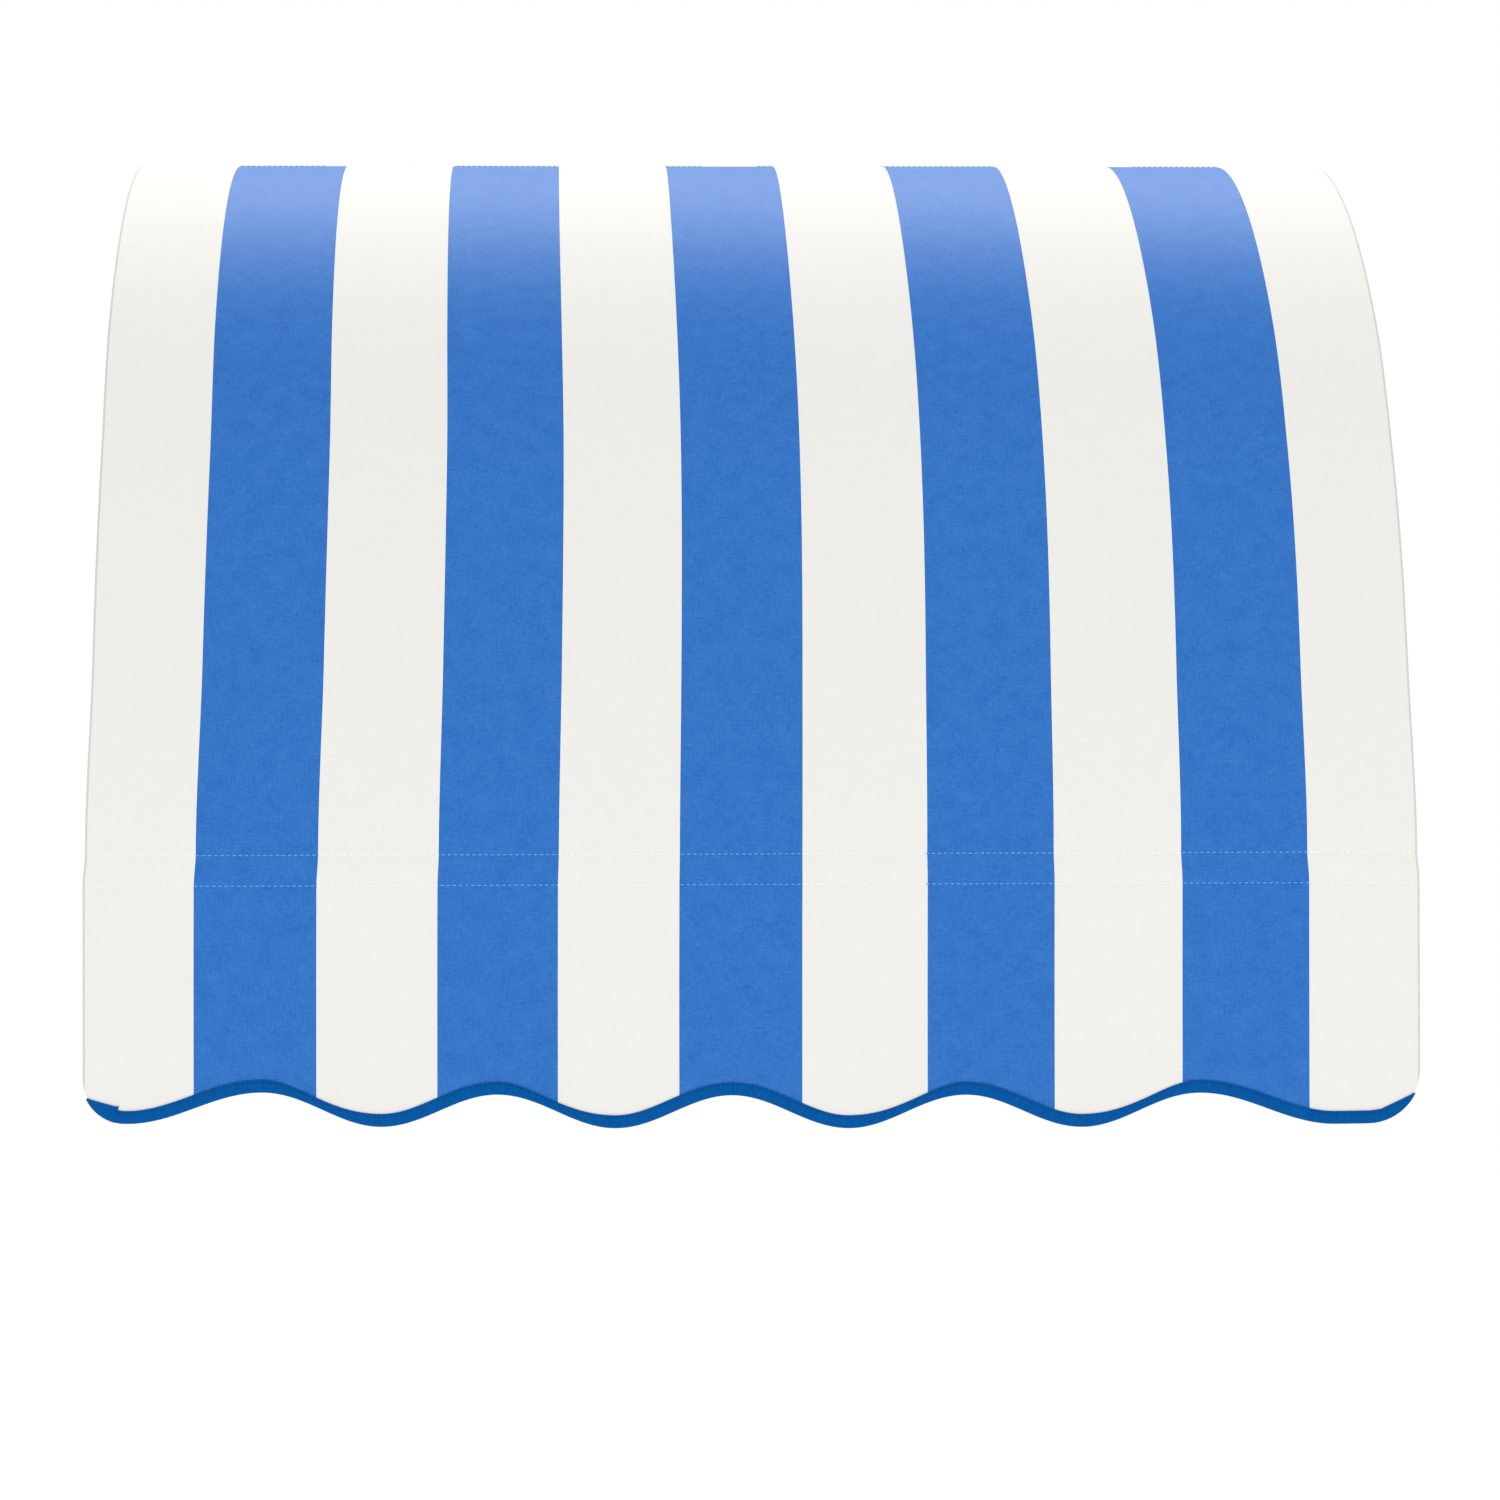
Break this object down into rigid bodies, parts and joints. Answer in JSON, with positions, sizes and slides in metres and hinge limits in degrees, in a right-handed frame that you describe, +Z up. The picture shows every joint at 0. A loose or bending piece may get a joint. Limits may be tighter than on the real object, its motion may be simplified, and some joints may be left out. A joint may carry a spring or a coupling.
{
  "type": "window awning",
  "caption": "Fixed quarter-round window awning: a striped cloth cover with a scalloped, bound valance on a bolted tube frame that fixes to a wall.",
  "frame": {"origin": "on the wall plane, at the height of the head bar's axis, in the middle of the middle head bracket's back face", "axes": "+Z up, +X along the wall to the right of someone looking at the awning from outside, +Y into the wall; the cover's front is at -Y"},
  "size_m": [1.029, 0.6107, 0.8088],
  "materials": {
    "awning_cloth": "plain-weave awning canvas, white and blue stripes, matt",
    "binding_tape": "folded blue binding tape, fine ribs, matt",
    "webbing": "white webbing, matt",
    "galvanised_tube": "galvanised steel tube with a soft spangle",
    "bracket_steel": "galvanised steel plate, satin",
    "cast_eye": "cast, slightly rough",
    "zinc_fastener": "zinc plated, satin",
    "nylon_plug": "black nylon, matt"
  },
  "bodies": {
    "root": {"canopy_cloth": "awning_cloth", "bar_pocket": "awning_cloth", "edge_binding": "binding_tape", "head_bar": "galvanised_tube", "front_bar": "galvanised_tube", "head_bracket_left": "bracket_steel", "head_lock_screw_left": "zinc_fastener", "head_bracket_middle": "bracket_steel", "head_lock_screw_middle": "zinc_fastener", "head_bracket_right": "bracket_steel", "head_lock_screw_right": "zinc_fastener", "cross_bar_low": "galvanised_tube", "cross_bar_middle": "galvanised_tube", "cross_bar_high": "galvanised_tube", "rib_left": "galvanised_tube", "rib_foot_eye_left": "cast_eye", "rib_top_eye_left": "cast_eye", "arm_left": "galvanised_tube", "arm_front_eye_left": "cast_eye", "arm_back_eye_left": "cast_eye", "head_insert_left": "zinc_fastener", "front_insert_left": "zinc_fastener", "head_bolt_left": "zinc_fastener", "corner_bolt_left": "zinc_fastener", "foot_bracket_left": "bracket_steel", "foot_bolt_left": "zinc_fastener", "foot_nut_left": "zinc_fastener", "cross_plug_low_left": "nylon_plug", "cross_screw_low_left": "zinc_fastener", "side_strap_low_left": "webbing", "cross_plug_middle_left": "nylon_plug", "cross_screw_middle_left": "zinc_fastener", "side_strap_middle_left": "webbing", "cross_plug_high_left": "nylon_plug", "cross_screw_high_left": "zinc_fastener", "side_strap_high_left": "webbing", "rib_right": "galvanised_tube", "rib_foot_eye_right": "cast_eye", "rib_top_eye_right": "cast_eye", "arm_right": "galvanised_tube", "arm_front_eye_right": "cast_eye", "arm_back_eye_right": "cast_eye", "head_insert_right": "zinc_fastener", "front_insert_right": "zinc_fastener", "head_bolt_right": "zinc_fastener", "corner_bolt_right": "zinc_fastener", "foot_bracket_right": "bracket_steel", "foot_bolt_right": "zinc_fastener", "foot_nut_right": "zinc_fastener", "cross_plug_low_right": "nylon_plug", "cross_screw_low_right": "zinc_fastener", "side_strap_low_right": "webbing", "cross_plug_middle_right": "nylon_plug", "cross_screw_middle_right": "zinc_fastener", "side_strap_middle_right": "webbing", "cross_plug_high_right": "nylon_plug", "cross_screw_high_right": "zinc_fastener", "side_strap_high_right": "webbing"}
  },
  "joints": []
}
